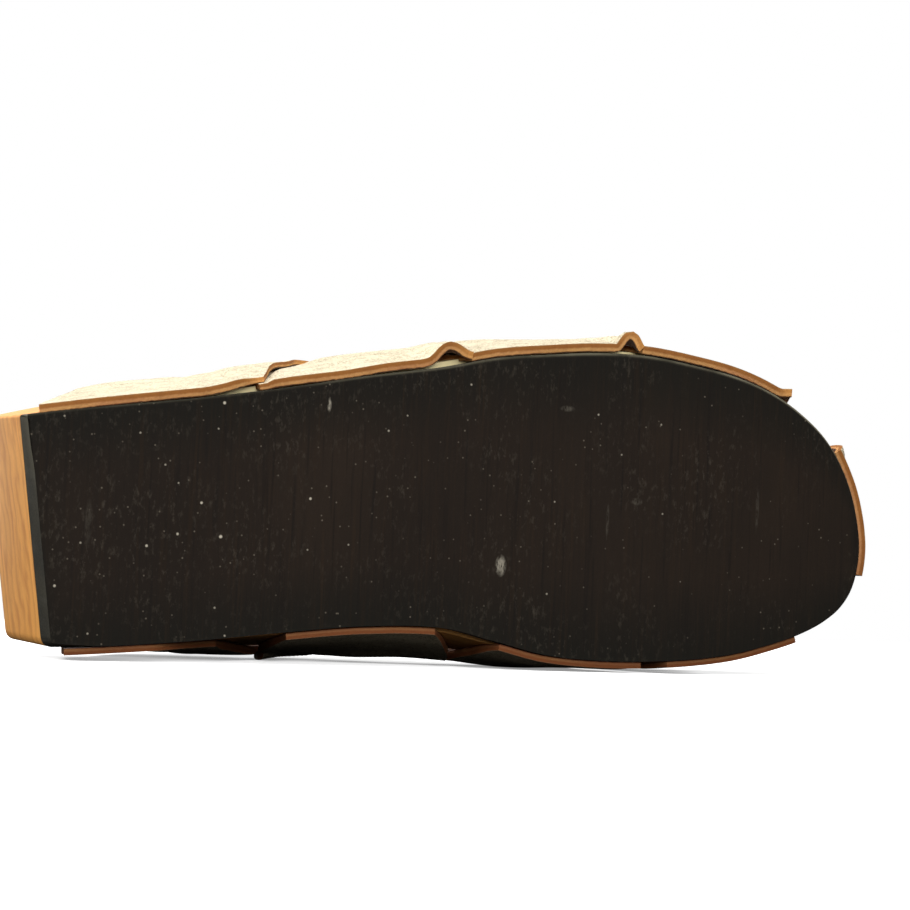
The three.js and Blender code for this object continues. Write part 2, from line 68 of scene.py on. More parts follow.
GIRTH, TOE_GIRTH = 240, 230  # about how far it is round the foot, in the middle and by the toes
LAP, TOE_LAP = 0.75, 0.8  # how far a strap rises over another and over the toe strap, in thicknesses
SOCK_INSET, SOCK_SHARE = 3.2, 0.035  # the insole's edge: in from the wood's, and as a share across it
LEAN, PITCH = 0.88, -1.31
PLACE = (-130.083291, -56.922723, 36.125313)  # where the heel's centre on the ground comes to lie

OUTLINE = dict(
    x=[8, 24, 48, 72, 96, 120, 136, 152, 168, 184, 200, 214.6, 227.2, 237.7, 246.3, 252.7, 257],
    lateral=[-32.6, -34.5, -37.3, -40.7, -44.7, -48.1, -51.2, -52.7, -53.7, -53.3, -50.95, -47.9, -43.3, -37.2, -30.0,
             -20.9, -10.6],
    medial=[32.9, 32.2, 30.7, 28.5, 26.7, 27.1, 30.8, 34.8, 36.5, 36.9, 36.3, 34.7, 31.9, 28.9, 25.1, 20.5, 14.2],
)
TOE_TIP = (LENGTH, 3.0)
REAR_LATERAL, REAR_MEDIAL = (-4.0, -31.0), (3.5, 32.9)

FOOT = dict(
    x=[-4, 20, 40, 80, 110, 140, 170, 200, 230, 262],
    flare_lateral=[0, 2.2, 3.8, 3.6, 3.5, 3, 2.2, 2.2, 2, 1.2],
    flare_medial=[-0.6, 0.2, 1.6, 6.4, 6.8, 3.4, 0.4, 0, 0.2, 0.8],
    crown_y=[0, 0, 0, 0, 1, 3, 6, 8, 8, 6],
    crown_z=[92, 91, 88, 73, 60, 49, 40, 32, 26, 20],
    full_lateral=[0.6, 1, 1.6, 2, 2.5, 2, 1.6, 1.2, 1, 0.5],
    full_medial=[0, 2.3, 3.0, 1.6, 5.2, 3.3, 2.1, 3.6, 3.8, 0.2],
    square=[2, 2, 2, 2, 1.95, 2, 2.15, 2.25, 2.3, 2.3],
)
# the straps' distance from the wood, low on the outer side, where the leather waves a little
OUTER_GAP = dict(x=[4, 20, 46, 60, 74, 90, 106, 130, 150, 200, 230],
                 gap=[-0.2, 0.05, 0.2, -0.05, 0.35, 0, 0.5, 0.1, 0.25, 0.45, 0.3])
HOLLOW = dict(x=[0, 36, 95, 170, 225, 262], depth=[2.6, 4, 1.6, 2.4, 1.4, 0.8])

# the stations of the straps' edges, at shares round the foot from the outer side to the inner one
V = [0, 0.09, 0.2, 0.34, 0.5, 0.66, 0.8, 0.91, 1]
STRAPS = {
    "outer_front": dict(
        rear=[182.6, 181, 178, 170, 158, 143.4, 135.8, 135.8, 138.6],
        front=[232.6, 236.6, 235, 221, 203, 181, 175.5, 179.5, 183.7]),
    "inner_front": dict(
        rear=[128.6, 123, 130, 145, 160, 175, 184.5, 188.5, 192.4],
        front=[181.4, 183, 187, 197, 209, 224, 232, 236, 236.5]),
    "outer_rear": dict(
        rear=[63.9, 66, 73, 84, 88, 67, 34, 14, 8.7], front=[128.2, 128.5, 130, 134, 137, 118, 86, 63, 55]),
    "inner_rear": dict(
        rear=[0.4, 9, 28, 64, 96, 96, 82, 75, 73], front=[66.4, 75, 92, 121, 146, 143.4, 136, 128, 118.3]),
}
# which straps each one lies on where they cross
OVER = {"outer_front": [], "inner_front": ["outer_front"], "outer_rear": ["inner_front"],
        "inner_rear": ["outer_rear"]}
# corners that stand away at the sole: station, how far out, half length
LIFTED = {"outer_front": (233.8, 2.6, 3.0), "inner_front": (178.4, 4.0, 2.1), "outer_rear": (121.8, 4.3, 4.2),
          "inner_rear": (71.0, 0.2, 5.0)}
# corners by the front edge that are cut short, as a share round the foot: at the outer side, at the inner side
TRIM = {"inner_rear": (0.009, 0.0), "outer_rear": (0.0, 0.035)}
# Creases of worn leather: station, share round the foot, direction in degrees from the shoe's length,
# length, depth and half width in mm
CREASES = {
    "outer_front": [(222, 0.13, 62, 15, 0.35, 1.3), (205, 0.24, 20, 24, 0.3, 1.7), (176, 0.55, 40, 30, 0.35, 2.0),
                    (158, 0.7, 15, 26, 0.4, 1.8), (163, 0.76, 8, 22, 0.3, 1.5)],
    "inner_front": [(172, 0.09, 78, 13, 0.4, 1.2), (150, 0.2, 12, 26, 0.35, 1.8), (160, 0.26, 20, 22, 0.3, 1.5),
                    (196, 0.6, -22, 30, 0.35, 1.9), (212, 0.76, -10, 24, 0.4, 1.7)],
    "outer_rear": [(115, 0.08, 75, 15, 0.45, 1.3), (107, 0.12, 60, 17, 0.35, 1.5), (98, 0.24, 15, 30, 0.35, 2.0),
                   (104, 0.29, 24, 24, 0.3, 1.6), (52, 0.79, 60, 30, 0.35, 2.0)],
    "inner_rear": [(60, 0.2, 48, 26, 0.4, 1.7), (70, 0.25, 42, 28, 0.35, 1.9), (48, 0.1, 70, 15, 0.3, 1.4),
                   (108, 0.7, -30, 30, 0.4, 1.9), (98, 0.8, -22, 24, 0.35, 1.6)],
}
TOE = dict(from_x=249.6, to_x=258.2, end_x=196.0, end_lateral=0.43, end_medial=0.64, wall=0.2, lean=0.22,
           least_lean=0.9, out=8, rise=42.0, pull=62, belly=2.4)

# ---- How the pieces are divided, mapped and closed ----
SOLE_GRID, SOLE_SHEET = (260, 48), (260, 90)  # divisions, and size in mm, along and across
SOCK_GRID, SOCK_SHEET = (220, 40), (255, 84)
MAP_UNIT = 100  # mm on the piece for one unit of its map
MERGE = 2e-5
SMOOTH_UNDER = 35  # degrees between faces, under which shading is smooth

# ---- The wood's growth layers: width and slow waver in mm, and the axis that they lie about, in metres ----
RING_WIDTH, RING_WARP, RING_AXIS = 5.6, 26, (0.0, 0.16, 0.02)

# ---- Light and camera: the lamps' place, width in metres, watts and aim; the camera's angles, as solved from the photo
LAMPS = {
    "front": ((-0.15, -1.35, 1.25), 1.7, 24.0, (0, 0, 0)),
    "low": ((-0.3, -1.5, 0.38), 0.5, 8.5, (0, 0, 0.05)),
    "top": ((-0.25, 0.2, 1.1), 0.9, 10.0, (0, 0, 0.1)),
    "heel": ((-0.3, 0.0, 0.6), 0.3, 1.0, (-0.12, 0, 0.1)),
    "left": ((-1.1, 0.0, 0.45), 0.7, 7.2, (-0.1, 0, 0.05)),
}
CAMERA_AT, CAMERA_TURN = (-0.35245, -0.91211, 0.02659), (-21.966, -2.180, 1.929)
FOCAL_PIXELS, PHOTO_WIDTH = 3200, 910


def smooth(a, b, t):
    s = np.clip((t - a) / (b - a), 0, 1)
    return s * s * (3 - 2 * s)


def mix(a, b, t):
    return a + (b - a) * t


def column(x, y, at):
    """A table's column y at given places in its column x: a smooth curve that never overshoots between its rows."""
    x, y = np.array(x, float), np.array(y, float)
    at = np.clip(np.asarray(at, float), x[0], x[-1])
    s = np.diff(y) / np.diff(x)
    t = np.empty(len(x))
    t[0], t[-1] = s[0], s[-1]
    a, b = s[:-1], s[1:]
    with np.errstate(divide="ignore", invalid="ignore"):
        t[1:-1] = np.where(a * b <= 0, 0, 2 * a * b / (a + b))
    i = np.clip(np.searchsorted(x, at, "left") - 1, 0, len(x) - 2)
    h = x[i + 1] - x[i]
    u = (at - x[i]) / h
    return ((2 * u**3 - 3 * u**2 + 1) * y[i] + (u**3 - 2 * u**2 + u) * h * t[i] + (3 * u**2 - 2 * u**3) * y[i + 1]
            + (u**3 - u**2) * h * t[i + 1])


def rim_curve():
    """The sole's outline from the heel's outer corner round the toe to its inner corner, as a smooth curve."""
    pts = [REAR_LATERAL, *zip(OUTLINE["x"], OUTLINE["lateral"]), TOE_TIP]
    pts += [*zip(reversed(OUTLINE["x"]), reversed(OUTLINE["medial"])), REAR_MEDIAL]
    p = np.array(pts, float)
    p = np.vstack([2 * p[0] - p[1], p, 2 * p[-1] - p[-2]])

    def at(t):
        t = np.atleast_1d(np.asarray(t, float)) * (len(p) - 3)
        i = np.clip(np.floor(t).astype(int), 0, len(p) - 4)
        w = (t - i)[:, None]
        x0, x1, x2, x3 = p[i], p[i + 1], p[i + 2], p[i + 3]
        d0, d1, d2 = (np.sqrt(np.linalg.norm(b - a, axis=1))[:, None] for a, b in ((x0, x1), (x1, x2), (x2, x3)))
        t1 = ((x1 - x0) / d0 - (x2 - x0) / (d0 + d1) + (x2 - x1) / d1) * d1
        t2 = ((x2 - x1) / d1 - (x3 - x1) / (d1 + d2) + (x3 - x2) / d2) * d1
        return x1 + t1 * w + (-3 * x1 + 3 * x2 - 2 * t1 - t2) * w**2 + (2 * x1 - 2 * x2 + t1 + t2) * w**3

    return at


rim = rim_curve()
ROWS = len(OUTLINE["x"]) + 1
_q = np.linspace(0, ROWS, 4000)
_side = {-1: rim(_q / (2 * ROWS)), 1: rim(1 - _q / (2 * ROWS))}


def side_at(side, q):
    """A point of one side, q counted in rows of the outline from the heel's corner."""
    return rim(q / (2 * ROWS) if side < 0 else 1 - np.asarray(q) / (2 * ROWS))


def rows_to(side, x):
    """How many rows from the heel's corner a side reaches a station."""
    s = _side[side][:, 0]
    n = int(np.argmax(s)) + 1
    return float(np.interp(x, s[:n], _q[:n]))


def edge_y(side, x):
    """The outline's y at a station, carried on straight behind the heel's corner."""
    s = _side[side]
    n = int(np.argmax(s[:, 0])) + 1
    y = np.interp(x, s[:n, 0], s[:n, 1])
    (x0, y0), (x1, y1) = side_at(side, 0)[0], side_at(side, 0.5)[0]
    return np.where(x < x0, y0 + (x - x0) * (y1 - y0) / (x1 - x0), y)


def ground(x):
    """Height of the sole's underside: flat, then rising to the toe."""
    return SPRING * (np.clip(x - SPRING_FROM, 0, None) / (LENGTH - SPRING_FROM)) ** 2


def bed_edge(x, side):
    """Height of the footbed's edge; side runs from -1 at the outer edge to 1 at the inner one."""
    return (mix(HEEL_HEIGHT, FORE_HEIGHT, smooth(SLOPE_FROM, SLOPE_TO, x)) + ground(x)
            + ARCH * np.clip(side, 0, None) ** 2 * np.exp(-(((x - 98) / 30) ** 2)))


def foot(key, x, side=None):
    """A measure of the form at a station; where it has two, the outer side's for a negative side, else the inner's."""
    if side is None:
        return column(FOOT["x"], FOOT[key], x)
    return np.where(np.asarray(side) < 0, foot(key + "_lateral", x), foot(key + "_medial", x))


def lay(points):
    """From the standing shoe's millimetres to the laid shoe's metres."""
    turn = Matrix.Rotation(math.radians(PITCH), 3, "Y") @ Matrix.Rotation(math.radians(-90 + LEAN), 3, "X")
    return (np.asarray(points) @ np.array(turn).T + np.array(PLACE)) / 1000


# ---- Plan of the sole: u runs from the heel's rear edge (0) to the toe tip (1), w from the outer side (0) to the inner
def side_path(side, u):
    """One side of the outline, with the heel's corner rounded."""
    corner = np.array(REAR_LATERAL if side < 0 else REAR_MEDIAL)
    middle = (np.array(REAR_LATERAL) + np.array(REAR_MEDIAL)) / 2
    along = corner - middle
    before = middle + along * (1 - CORNERS[side] / np.linalg.norm(along))
    q0 = rows_to(side, corner[0] + CORNERS[side])
    after = side_at(side, q0)[0]
    t = np.clip(u / CORNER_TURN, 0, 1)[:, None]
    bend = before * (1 - t) ** 2 + 2 * corner * t * (1 - t) + after * t**2
    q = q0 + (ROWS - q0) * np.clip((u - CORNER_TURN) / (1 - CORNER_TURN), 0, 1)
    return np.where(u[:, None] < CORNER_TURN, bend, side_at(side, q))


def plan(u, w, inset=0.0):
    """Points of the plan, pulled in from the outline by a distance, and their directions outwards."""
    grid = np.linspace(0, 1, 1200)
    ends = {}
    for side in (-1, 1):
        p = side_path(side, grid)
        d = np.gradient(p, axis=0)
        out = np.stack([-d[:, 1], d[:, 0]], 1) * side
        out /= np.linalg.norm(out, axis=1)[:, None]
        out[0] = (-1, 0)
        out[-1] = (1, 0)
        p = p - out * inset
        ends[side] = np.stack([np.interp(u, grid, p[:, 0]), np.interp(u, grid, p[:, 1])], 1)
        ends[side, "out"] = np.stack([np.interp(u, grid, out[:, 0]), np.interp(u, grid, out[:, 1])], 1)
    w2 = w[:, None]
    return mix(ends[-1], ends[1], w2), mix(ends[-1, "out"], ends[1, "out"], w2)


def leant(u, w):
    """How far out the platform leans at the footbed: sideways by the heel, and square to the outline by the toe."""
    p, out = plan(u, w)
    side = 2 * w - 1
    f = mix(foot("flare", p[:, 0], -1), foot("flare", p[:, 0], 1), w)
    sideways = np.stack([np.zeros(len(u)), side * f], 1)
    around = out * f[:, None] * np.abs(side)[:, None]
    t = smooth(150, 200, p[:, 0])[:, None]
    return mix(sideways, around, t)


def share_in(p, w):
    """How far in from the footbed's edge a point lies, from 0 at the edge to 1 along the middle."""
    across = 1 - np.abs(2 * w - 1)
    half = 0.5 * (edge_y(1, p[:, 0]) - edge_y(-1, p[:, 0]))
    near = np.minimum(np.minimum((p[:, 0] + 1) / 34, (LENGTH - p[:, 0]) / 37), 1)
    return np.clip(np.minimum(across * np.clip(half / 34, 0.6, 1.4), near), 0, 1)


def bed(p, w):
    """Height of the hollowed footbed."""
    hollow = column(HOLLOW["x"], HOLLOW["depth"], p[:, 0]) * smooth(-0.02, 0.85, share_in(p, w))
    return bed_edge(p[:, 0], 2 * w - 1) - hollow


# ---- The form that the straps lie on ----
def form(x, v):
    """A point of the straps' inner face, at a station x and a share v round the foot from its outer side."""
    side = np.where(v < 0.5, -1, 1)
    u = np.where(v < 0.5, v, 1 - v)
    low, high = ground(x), bed_edge(x, side)
    fold = foot("flare", x, side)
    edge = np.where(side < 0, edge_y(-1, x), edge_y(1, x))
    zw = mix(low + CUT_Z, high, np.clip(u / WALL, 0, 1))
    gap = np.where(side < 0, column(OUTER_GAP["x"], OUTER_GAP["gap"], x), GAP_INNER)
    yw = edge + side * (fold * (zw - low) / (high - low) + gap)
    angle = np.clip((u - WALL) / (0.5 - WALL), 0, 1) * math.pi / 2
    power = 2 / foot("square", x)
    cy = foot("crown_y", x)
    cz = (bed_edge(x, -1) + bed_edge(x, 1)) / 2 + foot("crown_z", x)
    wall = edge + side * (fold + gap)
    full = foot("full", x, side)
    s, c = np.sin(angle), np.clip(np.cos(angle), 0, 1)
    yo = cy + (wall - cy) * c**power + side * full * FULL_PEAK * s * c**2
    zo = high + (cz - high) * s**power
    on_wall = u <= WALL
    return np.stack([x, np.where(on_wall, yw, yo), np.where(on_wall, zw, zo)], 1)


def normal_on(surface, a, b, da=0.4, db=0.004):
    p = surface(a + da, b) - surface(a - da, b)
    q = surface(a, np.minimum(1, b + db)) - surface(a, np.maximum(0, b - db))
    n = np.cross(p, q)
    return n / np.linalg.norm(n, axis=1)[:, None]


def edge_at(name, v, which):
    return column(V, STRAPS[name][which], v)


def reach(name, x, v, ramp):
    """1 where a strap lies at this point, falling to 0 a ramp's length beyond its edges."""
    d = np.maximum(edge_at(name, v, "rear") - x, x - edge_at(name, v, "front"))
    return 1 - smooth(0, 1, d / ramp)


def toe_reach(x, v):
    d = np.maximum.reduce(
        [TOE["end_x"] - x, (TOE["end_lateral"] - v) * TOE_GIRTH, (v - TOE["end_medial"]) * TOE_GIRTH])
    return 1 - smooth(0, 8, d)


def lap(upper, under, v):
    """Where two straps cross, how far the upper one rises and how far the under one gives way, mm. Against the wood
    the under one can't give; low on the outer side it gives most of the way."""
    meet = 1 if upper == "inner_rear" else smooth(0, 0.05, v)
    if under == "inner_front":
        meet = meet * (1 - smooth(0.3, 0.4, v))
    low = mix(1, 0.35, smooth(0.05, 0.16, v)) + 0.65 * smooth(0.26, 0.4, v)
    soft = smooth(0.1, 0.18, v) * (1 - smooth(0.82, 0.9, v))
    give = (1 - np.where(v < 0.5, low, 1)) * soft
    full = LAP * LEATHER
    return full * meet * (1 - give), full * meet * give


def lift_of(name, x, v):
    """How far a strap stands off the form, mm: over others, under others, and at the corners that stand away."""
    lift = np.zeros(len(x))
    ramp = mix(4.5, 8, smooth(0.08, 0.2, v)) * (1 - 0.5 * smooth(0.6, 0.74, v))
    if name == "inner_rear":  # it leaves the wood well before it meets the next strap
        ramp = ramp + 13 * (1 - smooth(0.02, 0.1, v))
    for under in OVER[name]:
        lift += lap(name, under, v)[0] * reach(under, x, v, ramp)
    for upper, unders in OVER.items():
        if name in unders:
            lift -= lap(upper, name, v)[1] * reach(upper, x, v, ramp)
    if name.endswith("front"):
        lift += TOE_LAP * LEATHER * toe_reach(x, v)
    at, out, half = LIFTED[name]
    lift += out * np.exp(-(((x - at) / half) ** 2)) * (1 - smooth(0.004, 0.075, v))
    if name == "inner_rear":  # its front edge curls off the strap beneath
        lift += 0.9 * np.exp(-(((edge_at(name, v, "front") - x) / 5) ** 2)) * smooth(0.03, 0.08, v) * (
            1 - smooth(0.17, 0.27, v))
    return lift


def thin_at(name, x, v):
    """The leather's share of its full thickness: pared where another strap lies on it, at its ends on the inner side,
    and along the rear inner strap's front edge."""
    share = np.ones(len(x))
    for upper, unders in OVER.items():
        if name in unders:
            share -= 0.28 * reach(upper, x, v, 1.5)
    share -= 0.25 * smooth(0.93, 0.985, v)
    if name == "inner_rear":
        share -= 0.36 * (1 - smooth(1, 9, edge_at(name, v, "front") - x)) * (1 - smooth(0.2, 0.32, v))
    return share


def creased(name, x, v):
    """Depth of a strap's creases, each a groove between two low ridges."""
    depth = np.zeros(len(x))
    for at_x, at_v, turn, length, deep, half in CREASES[name]:
        a = math.radians(turn)
        dx, dy = x - at_x, (v - at_v) * GIRTH
        along, across = dx * math.cos(a) + dy * math.sin(a), -dx * math.sin(a) + dy * math.cos(a)
        across = across - 0.012 * along**2 * math.copysign(1, turn)
        groove = np.exp(-((across / half) ** 2)) - 0.45 * np.exp(-(((np.abs(across) - 2.2 * half) / half) ** 2))
        depth -= deep * groove * (1 - smooth(0.55, 1.0, np.abs(along) / (length / 2)))
    return depth


def strap_surface(name):
    """A strap's inner face, as a function of the shares round the foot and from its rear edge to its front one."""
    phase = sum(map(ord, name)) % 7

    def at(t, w):
        # the cut edges waver a little, as knife-cut leather does
        rear = edge_at(name, t, "rear") + 0.22 * np.sin(t * 33 + phase) + 0.12 * np.sin(t * 71 + 2 * phase)
        front = edge_at(name, t, "front") + 0.2 * np.sin(t * 29 + 3 * phase) + 0.14 * np.sin(t * 63 + phase)
        x = mix(rear, front, w)
        low, high = TRIM.get(name, (0, 0))
        v = t + low * (1 - smooth(0, 0.12, t)) * smooth(0.82, 0.98, w) - high * smooth(0.9, 1, t) * smooth(0.5, 1, w)
        return form(x, v) + normal_on(form, x, v) * (lift_of(name, x, v) + creased(name, x, v))[:, None]

    return at


def toe_surface(t, w):
    """The toe strap's inner face: up the wood's side at the toe tip, then back over the toes."""
    q0, q1 = rows_to(-1, TOE["from_x"]), rows_to(1, TOE["to_x"])
    q = mix(q0, 2 * ROWS - q1, w)
    p, nxt = rim(q / (2 * ROWS)), rim((q + 0.05) / (2 * ROWS))
    d = nxt - p
    out = np.stack([d[:, 1], -d[:, 0]], 1)
    out *= np.where(out[:, 0] < 0, -1, 1)[:, None] / np.linalg.norm(out, axis=1)[:, None]
    low, high = ground(p[:, 0]), bed_edge(p[:, 0], 0)
    wall = TOE["wall"]
    lean_out = TOE["lean"] + mix(foot("flare", p[:, 0], -1), foot("flare", p[:, 0], 1), w)
    lean_out = np.maximum(TOE["least_lean"], lean_out)
    z = mix(low + CUT_Z, high, np.clip(t / wall, 0, 1))
    k = GAP_INNER + lean_out * (z - low) / (high - low)
    on_wall = np.column_stack([p + out * k[:, None], z])
    s = np.clip((t - wall) / (1 - wall), 0, 1)[:, None]
    a = np.column_stack([p + out * (GAP_INNER + lean_out)[:, None], high])
    v = mix(TOE["end_lateral"], TOE["end_medial"], w)
    ex = np.full(len(t), TOE["end_x"])
    b = form(ex, v)
    back = form(ex - 1, v) - form(ex + 1, v)
    back = back / np.linalg.norm(back, axis=1)[:, None] * TOE["pull"]
    up = np.column_stack([out * TOE["out"], np.full(len(t), TOE["rise"])])
    over = (a * (2 * s**3 - 3 * s**2 + 1) + up * (s**3 - 2 * s**2 + s) + b * (3 * s**2 - 2 * s**3)
            + back * (s**3 - s**2))
    on = np.where((t < wall)[:, None], on_wall, over)
    # the outer corner bellies out over its cut edge
    belly = TOE["belly"] * smooth(0, 0.03, t) * (1 - smooth(0.05, 0.14, t)) * np.exp(-((w / 0.09) ** 2))
    return on + np.column_stack([out * belly[:, None], np.zeros(len(t))])


# ---- Mesh helpers ----
def panel(name, along, across):
    """A flat sheet one unit square and one unit thick: the start of every piece. Its x, y and z say where on the
    finished piece each point belongs."""
    bpy.ops.object.select_all(action="DESELECT")
    bpy.ops.mesh.primitive_grid_add(x_subdivisions=along, y_subdivisions=across, size=1, location=(0, 0, 0))
    ob = bpy.context.object
    ob.name = ob.data.name = name
    bpy.ops.object.mode_set(mode="EDIT")
    bpy.ops.mesh.select_all(action="SELECT")
    bpy.ops.mesh.extrude_region_move(TRANSFORM_OT_translate={"value": (0, 0, 1)})
    bpy.ops.object.mode_set(mode="OBJECT")
    return ob


def params(ob):
    """Where on the finished piece each of a panel's points belongs: along, across and through, from 0 to 1."""
    co = np.empty(len(ob.data.vertices) * 3)
    ob.data.vertices.foreach_get("co", co)
    co = co.reshape(-1, 3)
    return co[:, 0] + 0.5, co[:, 1] + 0.5, co[:, 2]


def place(ob, points):
    """Moves a panel's points to where the standing shoe has them, on the laid shoe."""
    ob.data.vertices.foreach_set("co", lay(points).ravel())
    ob.data.update()


def mark_faces(ob, materials, sizes):
    """Gives the sheet's two faces and its rim their materials and a map in tenths of a metre; on the rim, the map's
    height runs from 0 at the inner face to 1 at the outer one."""
    me = ob.data
    for m in materials:
        me.materials.append(m)
    u, w, h = params(ob)
    uv = me.uv_layers.active or me.uv_layers.new(name="run")
    uv.name = "run"
    length, width = (side / MAP_UNIT for side in sizes)
    for poly in me.polygons:
        ids = list(poly.vertices)
        hs = h[ids]
        flat = hs.max() - hs.min() < 0.5
        poly.material_index = (0 if hs.mean() > 0.5 else 2) if flat else 1
        end = abs(u[ids].max() - u[ids].min()) < 1e-6
        for li, vi in zip(poly.loop_indices, ids):
            if flat:
                uv.data[li].uv = (u[vi] * length, w[vi] * width)
            else:
                uv.data[li].uv = (w[vi] * width if end else u[vi] * length, h[vi])


def finish_piece(ob, node, edge, segments, sharp, rounded=-1):
    """Closes the sheet, rounds its sharp edges, hangs it on the root body and hides the part that it stands for."""
    bpy.ops.object.select_all(action="DESELECT")
    ob.select_set(True)
    bpy.context.view_layer.objects.active = ob
    bpy.ops.object.mode_set(mode="EDIT")
    bpy.ops.mesh.select_all(action="SELECT")
    bpy.ops.mesh.remove_doubles(threshold=MERGE)
    bpy.ops.mesh.dissolve_degenerate(threshold=1e-6)
    bpy.ops.mesh.select_all(action="SELECT")
    bpy.ops.mesh.normals_make_consistent(inside=False)
    bpy.ops.object.mode_set(mode="OBJECT")
    b = ob.modifiers.new("edges", "BEVEL")
    b.width, b.segments, b.limit_method, b.angle_limit = edge, segments, "ANGLE", math.radians(sharp)
    b.use_clamp_overlap, b.material = True, rounded
    bpy.ops.object.modifier_apply(modifier=b.name)
    bpy.ops.object.shade_smooth_by_angle(angle=math.radians(SMOOTH_UNDER))
    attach(ob, "root")
    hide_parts(node)


# ---- Materials ----
def linear(code):
    """sRGB hex to linear colour; a shade of a setting is linear already."""
    if not isinstance(code, str):
        return code
    c = [int(code[i:i + 2], 16) / 255 for i in (1, 3, 5)]
    return (*(v / 12.92 if v <= 0.04045 else ((v + 0.055) / 1.055) ** 2.4 for v in c), 1.0)


def connect(tree, socket, value):
    """Links a socket to what feeds it, or sets it where that is a plain value."""
    if isinstance(value, bpy.types.NodeSocket):
        tree.links.new(value, socket)
    else:
        socket.default_value = value


def add(tree, kind, *values, out=None, stops=(), **named):
    """Adds a shader node and gives back an output, the first where none is named. The values go to its sockets in their
    order; a named one goes to its setting of that name, or with a capital to its socket."""
    n = tree.nodes.new("ShaderNode" + kind)
    for key in [k for k in named if k.islower()]:
        setattr(n, key, named.pop(key))
    for socket, value in zip([s for s in n.inputs if s.enabled], values):
        connect(tree, socket, value)
    for key, value in named.items():
        connect(tree, n.inputs[key.replace("_", " ")], value)
    if stops:
        marks = n.color_ramp.elements
        while len(marks) < len(stops):
            marks.new(0.5)
        for mark, (at, shade) in zip(marks, stops):
            mark.position = at
            mark.color = (shade, shade, shade, 1) if isinstance(shade, (int, float)) else linear(shade)
    return n.outputs[out] if out else next(s for s in n.outputs if s.enabled)


def material(name):
    m = bpy.data.materials.new(name)
    m.use_nodes = True
    return m, m.node_tree


def dress(m, **shader):
    """Sets or links the sockets of a material's shader."""
    for key, value in shader.items():
        connect(m.node_tree, m.node_tree.nodes["Principled BSDF"].inputs[key.replace("_", " ")], value)
    return m


def scaled(tree, size):
    """Coordinates divided by a size in mm, or by one for each axis, so that one unit of the pattern is that size."""
    return add(tree, "Mapping", add(tree, "TexCoord", out="Object"), Scale=[1000 / s for s in np.broadcast_to(size, 3)])


def uneven(tree, size, detail=3.0, rough=0.5, distortion=0.0):
    """An uneven tone from 0 to 1, in patches about as large as a size in mm."""
    return add(tree, "TexNoise", scaled(tree, size), Scale=1.0, Detail=detail, Roughness=rough, Distortion=distortion)


def coordinate(tree, axis, on_map=False):
    """One coordinate of a point: of its place in metres, or of its place on the piece's own map."""
    at = add(tree, "UVMap", uv_map="run") if on_map else add(tree, "TexCoord", out="Object")
    return add(tree, "SeparateXYZ", at, out=axis)


def over(tree, under, code, *shares):
    """Lays a colour over what is there, as thickly as the shares multiplied together say."""
    share = shares[0]
    for other in shares[1:]:
        share = add(tree, "Math", share, other, operation="MULTIPLY")
    return add(tree, "Mix", share, under, linear(code), data_type="RGBA")


def soiled(tree, most):
    """Painted shade on the side that the shoe lies on, from its height over the floor: darkest next to the floor."""
    return add(tree, "MapRange", coordinate(tree, "Z"), 0.016, 0.004, To_Max=most)


# Marks on the outsole as in the photograph. Grit: for a radius in mm and a brightness, the stations and distances from
# the middle line
GRIT = {
    (0.65, 1): [(221.3, 22.6)], (0.6, 1): [(52.7, 1.7)], (0.55, 1): [(53.1, -35.8)],
    (0.5, 0.9): [(31.2, 4.5), (46.9, -7.7), (79.1, -9.4)], (0.5, 0.8): [(40.1, 1.1), (5.2, 15.8)],
    (0.4, 0.6): [(54.4, 29.4), (102.4, -29.2), (127.7, -43.2), (168.2, -35.6), (195.9, 13.2)],
    (0.4, 0.5): [(7.1, -30.9), (36.2, -18.1), (12.3, 3.9), (51.3, 21.6), (14.8, 28.9), (28.8, -26.8), (188.7, -33.2),
                 (223.8, -23.6), (189.6, -6.8), (152.6, 17.1)],
    (0.35, 0.5): [(40.1, -13.1), (78.5, 5.1), (90.8, 3.5), (108.1, -33.7), (51.5, -28.5), (175.9, -24), (154.6, -9.8),
                  (212.6, 4.7)],
}
# longer rubs: station, distance from the middle line, length along and across the shoe in mm, brightness
RUBS = [(137.9, 9.0, 1.9, 3.4, 0.5), (84.3, -36.1, 0.7, 2.4, 0.5), (181.0, -10.3, 2.2, 1.2, 0.1),
        (158.2, -37.1, 2.6, 1.0, 0.1), (221.8, -8.6, 0.8, 8.0, 0.05), (171.7, -4.2, 0.6, 6.0, 0.07),
        (14.5, -2.0, 1.3, 7.0, 0.04)]


